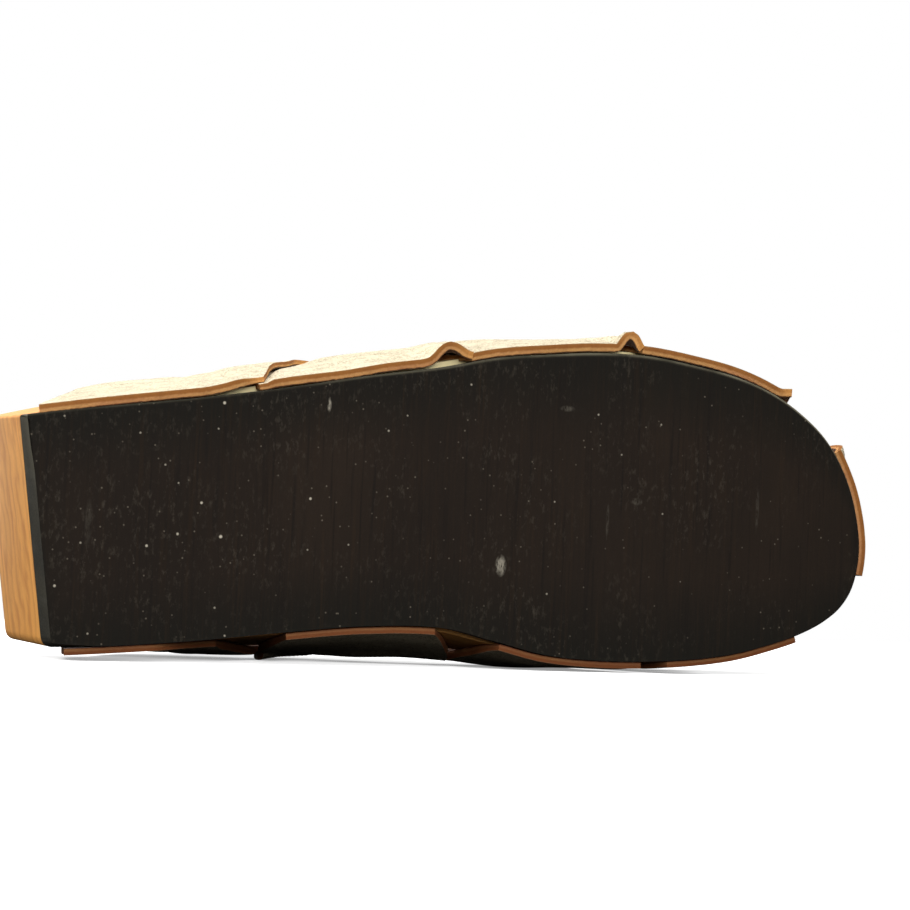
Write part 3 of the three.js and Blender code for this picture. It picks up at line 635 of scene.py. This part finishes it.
def rubber_material(p):
    """Moulded rubber, sanded flat across its width: near-black and matt, dustier at the heel, greener by the edge."""
    m, t = material("sanded black rubber")
    base = add(t, "ValToRGB", uneven(t, (34, 34, 60), 4, 0.55),
               stops=[(0.3, p.rubber_dark), (0.55, p.rubber_mid), (0.8, p.rubber_light)])
    # the piece's own map says how far in from the outline a point lies
    u, v = coordinate(t, "X", True), coordinate(t, "Y", True)
    length, width = (side / MAP_UNIT for side in SOLE_SHEET)
    ends, sides = (add(t, "Math", at, add(t, "Math", far, at, operation="SUBTRACT"), operation="MINIMUM")
                   for at, far in ((u, length), (v, width)))
    by_rim = add(t, "ValToRGB", add(t, "Math", sides, ends, operation="MINIMUM"),
                 stops=[(0, 1), (0.08, 0.75), (0.24, 0)])
    col = over(t, base, p.rubber_green, by_rim, 0.9)
    # sanding streaks run across the shoe, which is the laid shoe's upright direction
    fine = uneven(t, (0.8, 9, 24), 3, 0.6, 0.3)
    streak = add(t, "Math", add(t, "MapRange", fine, 0.46, 0.74),
                 add(t, "MapRange", uneven(t, (4.5, 9, 48), 3, 0.6, 0.4), 0.38, 0.7, 0.12),
                 operation="MULTIPLY")
    col = over(t, col, p.rubber_streak, streak, 0.3)
    dark = add(t, "MapRange", uneven(t, (1.3, 9, 30), 2, 0.5, 0.2), 0.44, 0.26)
    col = over(t, col, p.rubber_pit, dark, 0.6)
    # fine dust: small dots, denser at the heel
    dots = add(t, "MapRange", add(t, "TexVoronoi", scaled(t, 2.6), Scale=1.0), 0.13, 0.05)
    heel = add(t, "MapRange", add(t, "Math", u, length, operation="DIVIDE"), 0.45, 0.1, To_Max=0.12)
    which = add(t, "MapRange", add(t, "Math", uneven(t, 9, 2), heel, operation="ADD"), 0.5, 0.62)
    col = over(t, col, p.dust, dots, which, 0.4)
    # rubbed-in dust: short faint strokes across the width
    strokes = add(t, "MapRange", uneven(t, (1.3, 9, 2.6), 4, 0.7), 0.54, 0.74)
    patch = add(t, "MapRange", add(t, "Math", uneven(t, 22, 2), heel, operation="ADD"), 0.45, 0.68, 0.06)
    col = over(t, col, p.dust, strokes, patch, 0.12)
    # grit and longer rubs, the rubs frayed
    spot, marks = add(t, "TexCoord", out="Object"), 0.0
    for (radius, bright), places in GRIT.items():
        for x, y in places:
            away = add(t, "VectorMath", spot, tuple(lay([[x, y, 0]])[0]), operation="DISTANCE")
            grit = add(t, "MapRange", away, radius * MM, radius * 0.4 * MM, To_Max=bright)
            marks = add(t, "Math", marks, grit, operation="MAXIMUM")
    frayed = add(t, "MapRange", uneven(t, (0.9, 0.9, 2.2), 4, 0.65), 0.38, 0.58)
    for x, y, along, across, bright in RUBS:
        at = lay([[x, y, 0]])[0] * 1000
        away = add(t, "VectorMath", add(t, "Mapping", spot, Scale=(1000 / along, 0, 1000 / across),
                                        Location=(-at[0] / along, 0, -at[2] / across)), operation="LENGTH")
        rub = add(t, "Math", add(t, "MapRange", away, 1, 0.45, To_Max=bright), frayed, operation="MULTIPLY")
        marks = add(t, "Math", marks, rub, operation="MAXIMUM")
    col = over(t, col, p.grit, marks, 0.85)
    # a painted highlight along the outer rim, where its rounded edge would catch the light, broader towards the toe
    rim_line = add(t, "ValToRGB", v, stops=[(0.0035, 1), (0.0085, 0)])
    to_toe = add(t, "MapRange", coordinate(t, "X"), -0.07, 0.1, 0.14, 0.8)
    patchy = add(t, "MapRange", uneven(t, 16, 3, 0.6), 0.35, 0.6, 0.35)
    col = over(t, col, p.scuff, rim_line, to_toe, patchy)
    grain = add(t, "Bump", Height=uneven(t, (0.5, 0.5, 1.4), 4, 0.65), Distance=0.07 * MM, Strength=0.6)
    sanded = add(t, "Bump", Height=fine, Distance=0.06 * MM, Strength=0.6, Normal=grain)
    rough = add(t, "MapRange", streak, To_Min=0.72, To_Max=0.85)
    return dress(m, Base_Color=col, Roughness=rough, IOR=1.5, Specular_IOR_Level=0.13, Normal=sanded)


def rubber_edge_material(p):
    """The outsole's trimmed side: the same rubber, ground on a belt; low on its outer side it is painted grey, a
    painted highlight.
    """
    m, t = material("ground rubber edge")
    line = uneven(t, 0.5, 4, 0.6)
    base = add(t, "ValToRGB", uneven(t, (16, 5, 12), 3, 0.55), stops=[(0.3, p.side_dark), (0.7, p.side_light)])
    col = over(t, base, p.side_line, add(t, "MapRange", line, 0.42, 0.7), 0.3)
    # painted highlight: on the outer side, by the ground face
    outer = add(t, "MapRange", coordinate(t, "Z"), 0.045, 0.095)
    low = add(t, "MapRange", coordinate(t, "Y", True), 0.6, 0.1, To_Min=0.35)
    col = over(t, col, p.scuff, outer, low, 0.6)
    ground_line = add(t, "Bump", Height=line, Distance=0.05 * MM, Strength=0.6)
    return dress(m, Base_Color=col, Roughness=0.6, IOR=1.5, Specular_IOR_Level=0.2, Normal=ground_line)


def wood_material(p):
    """Light close-grained wood, sanded and clear-finished: growth layers lie about level with the footbed."""
    m, t = material("clear-finished pale wood")
    # growth layers: wide rings about an axis along the shoe, far above the footbed, waved by a slow warp
    warp = add(t, "Math", uneven(t, (150, 22, 30)), RING_WARP, operation="MULTIPLY")
    flat = add(t, "VectorMath", add(t, "TexCoord", out="Object"), (0, 1, 1), operation="MULTIPLY")
    away = add(t, "VectorMath", flat, RING_AXIS, operation="DISTANCE")
    depth = add(t, "Math", away, 1000, warp, operation="MULTIPLY_ADD")
    ring = add(t, "Math", add(t, "Math", depth, RING_WIDTH, operation="DIVIDE"), operation="FRACT")
    line = add(t, "ValToRGB", ring, stops=[(0, 0), (0.35, 0.15), (0.7, 1), (0.86, 0.45), (1, 0)])
    base = add(t, "ValToRGB", uneven(t, (90, 9, 50), 3, 0.55),
               stops=[(0.3, p.wood_dark), (0.55, p.wood_mid), (0.75, p.wood_light)])
    faint = add(t, "MapRange", uneven(t, (60, 9, 18), 2), 0.35, 0.7, 0.35)
    col = over(t, base, p.wood_ring, line, faint)
    # darker streaks and spots where the grain dives in
    dive = add(t, "MapRange", uneven(t, (7, 4, 12), 3, 0.6, 0.6), 0.52, 0.7)
    col = over(t, col, p.wood_spot, dive, 0.5)
    fibre = uneven(t, (24, 0.4, 0.7), 3, 0.6)
    col = over(t, col, p.wood_fibre, add(t, "MapRange", fibre, 0.45, 0.75), 0.2)
    # painted highlights: on the outer side the wood's lower edge is paler, except at the heel, and the top is paler too
    low = add(t, "MapRange", coordinate(t, "Y"), -0.0465, -0.0495)
    ahead = add(t, "MapRange", coordinate(t, "X"), -0.118, -0.1)
    outer = add(t, "MapRange", coordinate(t, "Z"), 0.04, 0.06, To_Max=0.95)
    fresh = add(t, "Math", add(t, "Math", low, ahead, operation="MULTIPLY"), outer, operation="MULTIPLY")
    bleached = add(t, "MapRange", coordinate(t, "Z"), 0.0945, 0.0985, To_Max=0.6)
    col = over(t, col, p.wood_pale, add(t, "Math", fresh, bleached, operation="MAXIMUM"))
    # painted shade on the wood next to the floor, except at the heel
    col = over(t, col, p.soil, soiled(t, 0.7), ahead)
    fibrous = add(t, "Bump", Height=fibre, Distance=0.04 * MM, Strength=0.5)
    return dress(m, Base_Color=col, Roughness=0.5, IOR=1.5, Specular_IOR_Level=0.35, Coat_Weight=0.12,
                 Coat_Roughness=0.35, Normal=fibrous)


def face_material(p):
    """Cream leather with a crackled foil finish: pale scales with grey-brown cracks and specks, half worn away."""
    m, t = material("cream crackle leather")
    # drawn a little coarser than real cracks, so that they show
    cells = add(t, "TexVoronoi", scaled(t, 1.3), Scale=1.0, feature="DISTANCE_TO_EDGE")
    crack = add(t, "MapRange", cells, 0.11, 0)
    wear = add(t, "MapRange", uneven(t, 6, 4, 0.6), 0.34, 0.62, 0.2)
    speck = add(t, "MapRange", uneven(t, 0.9, 3, 0.65), 0.5, 0.6)
    mark = add(t, "Math", add(t, "Math", crack, speck, operation="MAXIMUM"), wear, operation="MULTIPLY", use_clamp=True)
    base = add(t, "ValToRGB", uneven(t, 18), stops=[(0.3, p.face_dark), (0.7, p.face_light)])
    col = over(t, base, p.face_crack, mark, 0.85)
    # painted shade on the cream leather next to the floor
    col = over(t, col, p.soil, soiled(t, 0.6))
    rough = add(t, "MapRange", mark, To_Min=0.55, To_Max=0.8)
    grain = add(t, "Bump", Height=uneven(t, 1.1, 4, 0.6), Distance=0.12 * MM, Strength=0.7)
    cracked = add(t, "Bump", Height=add(t, "Math", 1.0, crack, operation="SUBTRACT"), Distance=0.1 * MM, Strength=0.6,
                  Normal=grain)
    return dress(m, Base_Color=col, Roughness=rough, IOR=1.5, Specular_IOR_Level=0.35, Normal=cracked)


def edge_material(p):
    """Raw cut edge of vegetable-tanned leather: a darker, closed outer layer over paler, fibrous leather, and a thin
    dark line where the flesh side ends, partly painted shade. Low on the inner side, painted shade makes the edges
    redder and darker."""
    m, t = material("cut leather edge")
    # the layers, from 0 at the flesh side to 1 at the face, waver a little
    waver = add(t, "MapRange", uneven(t, 1.6, 3, 0.6), To_Min=-0.125, To_Max=0.125)
    level = add(t, "Math", coordinate(t, "Y", True), waver, operation="ADD")
    inner = add(t, "ValToRGB", uneven(t, (34, 9, 34), 2), stops=[(0.38, p.edge_inner), (0.62, p.edge_fair)])
    fair = add(t, "ValToRGB", level, stops=[(0.14, 1), (0.36, 1), (0.58, 0)])
    col = add(t, "Mix", fair, linear(p.edge_outer), inner, data_type="RGBA")
    # the cut edges are brighter at the bent corners, at the front of the outer side
    bend = add(t, "MapRange", coordinate(t, "X", True), 0.42, 0.475)
    outer = add(t, "MapRange", coordinate(t, "Z"), 0.06, 0.08)
    col = over(t, col, p.edge_bent, bend, outer, 0.45)
    col = over(t, col, p.edge_skin, add(t, "MapRange", level, 0.9, 1, To_Max=0.7))
    # the thin dark line where the flesh side ends is partly real and partly painted shade of the gap under the strap
    col = over(t, col, p.edge_line, add(t, "MapRange", level, 0.16, 0.04))
    # painted shade: the edges are darker and redder low on the inner side, next to the floor
    col = over(t, col, p.edge_stain, add(t, "MapRange", coordinate(t, "Z"), 0.045, 0.015, To_Max=0.72))
    fibre = uneven(t, 0.5, 4, 0.65)
    col = over(t, col, p.edge_blot, add(t, "MapRange", uneven(t, 5, 3, 0.6), 0.45, 0.68), 0.3)
    col = over(t, col, p.edge_fibre, add(t, "MapRange", fibre, 0.42, 0.7), 0.3)
    fibrous = add(t, "Bump", Height=fibre, Distance=0.1 * MM, Strength=0.8)
    return dress(m, Base_Color=col, Roughness=0.8, IOR=1.5, Specular_IOR_Level=0.25, Normal=fibrous)


def flesh_material(p):
    """Flesh side of the leather: tan, napped, with loose fibres."""
    m, t = material("leather flesh side")
    nap = uneven(t, 0.7, 5, 0.7)
    base = add(t, "ValToRGB", uneven(t, 14), stops=[(0.3, p.flesh_dark), (0.7, p.flesh)])
    col = over(t, base, p.flesh_nap, add(t, "MapRange", nap, 0.4, 0.7), 0.3)
    napped = add(t, "Bump", Height=nap, Distance=0.15 * MM, Strength=0.8)
    return dress(m, Base_Color=col, Roughness=0.9, IOR=1.5, Specular_IOR_Level=0.2, Sheen_Weight=0.25, Normal=napped)


def sock_material(p):
    """Thin smooth-finished lining leather, with fine pores."""
    m, t = material("tan lining leather")
    base = add(t, "ValToRGB", uneven(t, (40, 30, 30)), stops=[(0.3, p.sock_dark), (0.7, p.sock)])
    pores = add(t, "MapRange", add(t, "TexVoronoi", scaled(t, 0.9), Scale=1.0), 0.25, 0.05)
    col = over(t, base, p.sock_pore, pores, 0.3)
    grain = add(t, "Bump", Height=uneven(t, 0.8, 4), Distance=0.08 * MM, Strength=0.6)
    return dress(m, Base_Color=col, Roughness=0.55, IOR=1.5, Coat_Weight=0.08, Coat_Roughness=0.4, Normal=grain)


# ---- Settings ----
def colour(name, description, code):
    return bpy.props.FloatVectorProperty(name=name, description=description, subtype="COLOR", size=3, min=0, max=1,
                                         default=linear(code)[:3])


def size(name, description, default, least, most):
    return bpy.props.FloatProperty(name=name, description=description, default=default, min=least, max=most,
                                   subtype="DISTANCE", unit="LENGTH")


class SandalSettings(bpy.types.PropertyGroup):
    """Sizes and colours of the sandal's pieces"""

    leather: size("Leather", "Thickness of the straps", 0.0025, 0.001, 0.004)
    sock_thickness: size("Insole", "Thickness of the insole", 0.0016, 0.0008, 0.003)
    rubber_edge: size("Rubber edge", "Round of the outsole's lower edge", 0.0009, 0.0003, 0.003)
    wood_edge: size("Wood edge", "Round of the footbed's edge", 0.0009, 0.0005, 0.004)
    wave: size("Slackness", "Height of the straps' slow waves", 0.0003, 0, 0.001)
    rubber: colour("Rubber", "Colour of the outsole", "#1D150E")
    wood: colour("Wood", "Colour of the platform", "#E8A44F")
    face: colour("Leather face", "Colour of the straps' outer face", "#DCCFB1")
    sock: colour("Insole colour", "Colour of the insole", "#B98A55")


def shades(colour3, *factors):
    """Lighter and darker neighbours of a linear colour."""
    return [(*(min(1.0, v * f) for v in colour3), 1.0) for f in factors]


class Palette:
    """The materials' colours: shades of those in the settings, and others that go with them."""

    # the last of these is a painted highlight for the rubber's outer rim
    rubber_green, dust, grit, scuff = "#0B0A05", "#8C8272", "#CFC6B2", "#8F8973"
    side_dark, side_light, side_line = "#15140E", "#2B281E", "#4A463A"
    # the last of the wood's colours is a painted highlight
    wood_ring, wood_spot, wood_fibre, wood_pale = "#BD762E", "#B56E2A", "#A8692A", "#FFF0B8"
    # the second of these colours is painted shade, laid on the wood and the cream leather next to the floor
    face_crack, soil = "#7A6D52", "#3A2414"
    edge_outer, edge_inner, edge_fair, edge_bent = "#98612B", "#C48A58", "#D6A362", "#F2AE60"
    # the last of these is painted shade for the edges low on the inner side
    edge_line, edge_skin, edge_stain = "#2A1206", "#B9A27C", "#5A2614"
    edge_blot, edge_fibre = "#7A4420", "#6E3F1D"
    flesh_dark, flesh, flesh_nap = "#643B1D", "#83532E", "#A67746"
    sock_dark, sock_pore = "#9C6C3C", "#6F4723"

    def __init__(self, s):
        self.rubber_dark, self.rubber_mid, self.rubber_light = shades(s.rubber, 0.75, 1.0, 1.4)
        self.rubber_pit, self.rubber_streak = shades(s.rubber, 0.35, 3.4)
        self.wood_dark, self.wood_mid, self.wood_light = shades(s.wood, 0.84, 1.0, 1.14)
        self.face_dark, self.face_light = shades(s.face, 0.88, 1.0)
        self.sock = shades(s.sock, 1.0)[0]


# ---- Pieces ----
class OutsoleAdd(bpy.types.Operator):
    """Model the rubber outsole"""

    bl_idname = "sandal.outsole"
    bl_label = "Outsole"

    def execute(self, context):
        s = context.scene.sandal
        pal = Palette(s)
        ob = panel("outsole_rubber", *SOLE_GRID)
        u, w, h = params(ob)
        rubber = rubber_material(pal)
        mark_faces(ob, [rubber, rubber_edge_material(pal), rubber], SOLE_SHEET)
        p, _ = plan(u, w)
        # round the heel, the ground face is drawn in behind a worn edge
        drawn_in, _ = plan(u, w, WORN_EDGE)
        by_heel = np.maximum((1 - smooth(4, 22, p[:, 0])) * smooth(0, 0.25, w), 1 - smooth(0.01, 0.05, u))
        p = mix(p, drawn_in, ((1 - h) * by_heel)[:, None])
        place(ob, np.column_stack([p, ground(p[:, 0]) + h * RUBBER]))
        finish_piece(ob, "outsole", s.rubber_edge, segments=3, sharp=60, rounded=1)
        return {"FINISHED"}


class PlatformAdd(bpy.types.Operator):
    """Model the wooden platform with its hollowed footbed"""

    bl_idname = "sandal.platform"
    bl_label = "Platform"

    def execute(self, context):
        s = context.scene.sandal
        ob = panel("platform_wood", *SOLE_GRID)
        u, w, h = params(ob)
        mark_faces(ob, [wood_material(Palette(s))] * 3, SOLE_SHEET)
        p, _ = plan(u, w)
        foot, edge = ground(p[:, 0]), bed_edge(p[:, 0], 2 * w - 1)
        low = foot + RUBBER + GAP
        rise = (mix(low, edge, h) - foot) / (edge - foot)
        z = mix(low, bed(p, w), h)
        # on the outer side the wood stands a little over the rubber
        proud = 0.3 * (1 - smooth(0.0, 0.3, w)) * smooth(20, 44, p[:, 0]) * (1 - smooth(178, 200, p[:, 0]))
        p = p + leant(u, w) * (proud + (1 - proud) * rise)[:, None]
        place(ob, np.column_stack([p, z]))
        finish_piece(ob, "platform", s.wood_edge, segments=4, sharp=60)
        return {"FINISHED"}


class InsoleAdd(bpy.types.Operator):
    """Model the leather insole on the footbed"""

    bl_idname = "sandal.insole"
    bl_label = "Insole"

    def execute(self, context):
        s = context.scene.sandal
        pal = Palette(s)
        ob = panel("insole_leather", *SOCK_GRID)
        u, w, h = params(ob)
        mark_faces(ob, [sock_material(pal), edge_material(pal), flesh_material(pal)], SOCK_SHEET)
        p, _ = plan(u, w, SOCK_INSET)
        # its height is the wood's, at the share across the wood where the insole's point lies
        z = bed(p, mix(SOCK_SHARE, 1 - SOCK_SHARE, w)) + GAP + h * s.sock_thickness * 1000
        place(ob, np.column_stack([p + leant(u, w), z]))
        finish_piece(ob, "insole", 0.3 * MM, segments=2, sharp=60)
        return {"FINISHED"}


def strap_piece(name, surface, sizes, divisions, thickness, wave, mats, pared=lambda t, w: 1):
    """A strap on its surface: t runs round the foot, w from the rear edge to the front one."""
    ob = panel(name, *divisions)
    t, w, h = params(ob)
    mark_faces(ob, mats, sizes)
    # more divisions towards the front edge, where a corner stands away
    w = 1 - (1 - w) ** 1.25
    dt, dw = 0.004, 0.01
    out = np.cross(surface(t, np.minimum(1, w + dw)) - surface(t, np.maximum(0, w - dw)),
                   surface(np.minimum(1, t + dt), w) - surface(np.maximum(0, t - dt), w))
    out /= np.linalg.norm(out, axis=1)[:, None]
    slow = (np.sin(t * 17 + w * 3 + len(name)) + np.sin(t * 9 - w * 7) + np.sin(w * 8 + t * 5)) / 3
    held = smooth(0, 0.18, t) * (1 - smooth(0.84, 1, t))
    place(ob, surface(t, w) + out * ((h * thickness * pared(t, w) + wave * slow * held)[:, None] * 1000))
    finish_piece(ob, "upper", 0.25 * MM, segments=2, sharp=50)


class StrapsAdd(bpy.types.Operator):
    """Model the four crossing straps and the toe strap"""

    bl_idname = "sandal.straps"
    bl_label = "Straps"

    def execute(self, context):
        s = context.scene.sandal
        pal = Palette(s)
        mats = [face_material(pal), edge_material(pal), flesh_material(pal)]
        for name in STRAPS:
            def pared(t, w, name=name):
                return thin_at(name, mix(edge_at(name, t, "rear"), edge_at(name, t, "front"), w), t)

            strap_piece("strap_" + name, strap_surface(name), (230, 50), (320, 72), s.leather, s.wave, mats, pared)
        strap_piece("strap_toe", toe_surface, (90, 42), (140, 60), s.leather, 0.0, mats)
        return {"FINISHED"}


class StageAdd(bpy.types.Operator):
    """Add the floor, the lights and the camera"""

    bl_idname = "sandal.stage"
    bl_label = "Stage"

    def execute(self, context):
        bpy.ops.object.select_all(action="DESELECT")
        bpy.ops.mesh.primitive_plane_add(size=1.8, location=(0, -0.35, 0))
        floor = bpy.context.object
        floor.name = "floor"
        m, t = material("white paper")
        white = add(t, "ValToRGB", uneven(t, 3), stops=[(0.3, "#F6F6F5"), (0.7, "#FAFAF9")])
        # to the eye the paper glows white, and it throws little light back up under the shoe; close under the shoe a
        # painted shadow darkens it
        seen = add(t, "LightPath", out="Is Camera Ray")
        lit = add(t, "MapRange", add(t, "AmbientOcclusion", Distance=0.004, samples=8, out="AO"), 0.1, 0.7, 0.35)
        shown = add(t, "Mix", 1.0, white, lit, data_type="RGBA", blend_type="MULTIPLY")
        glow = add(t, "Math", add(t, "Math", seen, 0.8, operation="MULTIPLY"), lit, operation="MULTIPLY")
        dress(m, Base_Color=add(t, "Mix", seen, linear("#3E3E3D"), shown, data_type="RGBA"), Roughness=0.9,
              Specular_IOR_Level=0.1, Emission_Color=(1, 1, 1, 1), Emission_Strength=glow)
        floor.data.materials.append(m)
        # a white surround to the eye, that lights the shoe only a little
        world = bpy.data.worlds.new("studio")
        world.use_nodes = True
        t = world.node_tree
        seen = add(t, "Math", add(t, "LightPath", out="Is Camera Ray"), add(t, "LightPath", out="Is Glossy Ray"),
                   operation="MAXIMUM")
        background = t.nodes["Background"].inputs
        connect(t, background["Strength"], add(t, "MapRange", seen, To_Min=0.11, To_Max=1.0))
        connect(t, background["Color"], (1, 1, 1, 1))
        context.scene.world = world
        for name, (at, width, power, aim) in LAMPS.items():
            bpy.ops.object.light_add(type="AREA", location=at)
            lamp = bpy.context.object
            lamp.name = name
            lamp.data.shape, lamp.data.size, lamp.data.energy = "SQUARE", width, power
            lamp.rotation_euler = (Vector(aim) - Vector(at)).to_track_quat("-Z", "Y").to_euler()
        cam = bpy.data.objects.new("camera", bpy.data.cameras.new("camera"))
        context.scene.collection.objects.link(cam)
        az, el, roll = (math.radians(a) for a in CAMERA_TURN)
        ahead = Vector((-math.sin(az) * math.cos(el), math.cos(az) * math.cos(el), -math.sin(el)))
        level = Vector((math.cos(az), math.sin(az), 0))
        upright = level.cross(ahead)
        right = level * math.cos(roll) + upright * math.sin(roll)
        up = upright * math.cos(roll) - level * math.sin(roll)
        cam.matrix_world = Matrix.Translation(CAMERA_AT) @ Matrix((right, up, -ahead)).transposed().to_4x4()
        cam.data.sensor_width = 36
        cam.data.lens = FOCAL_PIXELS / PHOTO_WIDTH * 36
        cam.data.clip_start, cam.data.clip_end = 0.01, 20
        context.scene.camera = cam
        context.scene.view_settings.view_transform = "Standard"
        return {"FINISHED"}


class SandalPanel(bpy.types.Panel):
    """Lists the pieces and their sizes"""

    bl_idname = "VIEW3D_PT_sandal"
    bl_label = "Sandal"
    bl_space_type = "VIEW_3D"
    bl_region_type = "UI"
    bl_category = "Sandal"

    def draw(self, context):
        s = context.scene.sandal
        for key in s.bl_rna.properties.keys():
            if key not in ("rna_type", "name"):
                self.layout.prop(s, key)
        for op in OPERATORS:
            self.layout.operator(op.bl_idname)


OPERATORS = (OutsoleAdd, PlatformAdd, InsoleAdd, StrapsAdd, StageAdd)


def register():
    for c in (SandalSettings, *OPERATORS, SandalPanel):
        bpy.utils.register_class(c)
    bpy.types.Scene.sandal = bpy.props.PointerProperty(type=SandalSettings)


def unregister():
    del bpy.types.Scene.sandal
    for c in (SandalPanel, *reversed(OPERATORS), SandalSettings):
        bpy.utils.unregister_class(c)


def main():
    register()
    bpy.ops.sandal.outsole()
    bpy.ops.sandal.platform()
    bpy.ops.sandal.insole()
    bpy.ops.sandal.straps()
    bpy.ops.sandal.stage()


if __name__ == "__main__":
    main()
